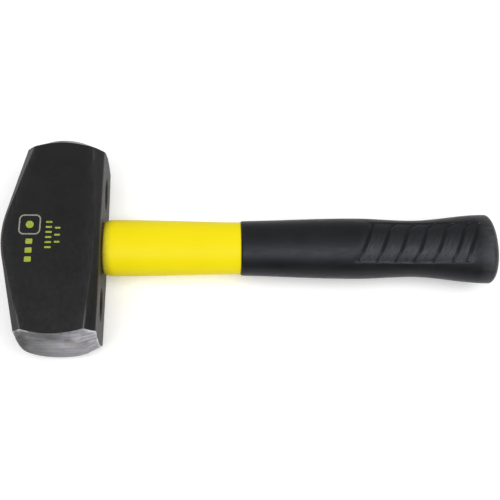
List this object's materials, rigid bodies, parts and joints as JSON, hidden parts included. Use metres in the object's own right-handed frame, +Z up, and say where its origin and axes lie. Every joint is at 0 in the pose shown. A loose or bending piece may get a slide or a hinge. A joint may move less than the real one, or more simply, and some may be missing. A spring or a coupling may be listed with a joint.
{
  "type": "sledgehammer",
  "caption": "One-handed sledgehammer with a double-faced octagonal steel head on a fibreglass handle with a yellow jacket and a flared rubber grip.",
  "frame": {"origin": "middle of the lower cheek, under the centre of the eye, on the surface the hammer lies on", "axes": "+X along the handle from the head to the butt, +Y along the head to one striking face, +Z up, square to the cheeks"},
  "size_m": [0.2944, 0.1262, 0.045],
  "materials": {
    "head": "satin black paint on forged steel, bare ground steel on the bevels and faces",
    "fibreglass_core": "cut and sanded glass-fibre rod end",
    "jacket": "smooth moulded yellow, semi-gloss",
    "grip": "satin black moulded rubber with slanted grooves",
    "epoxy_fill": "cured amber resin, glossy",
    "eye_seal": "matt black rubber washer"
  },
  "bodies": {
    "root": {"head": "head", "fibreglass_core": "fibreglass_core", "jacket": "jacket", "grip": "grip", "epoxy_fill": "epoxy_fill", "eye_seal": "eye_seal"}
  },
  "joints": []
}
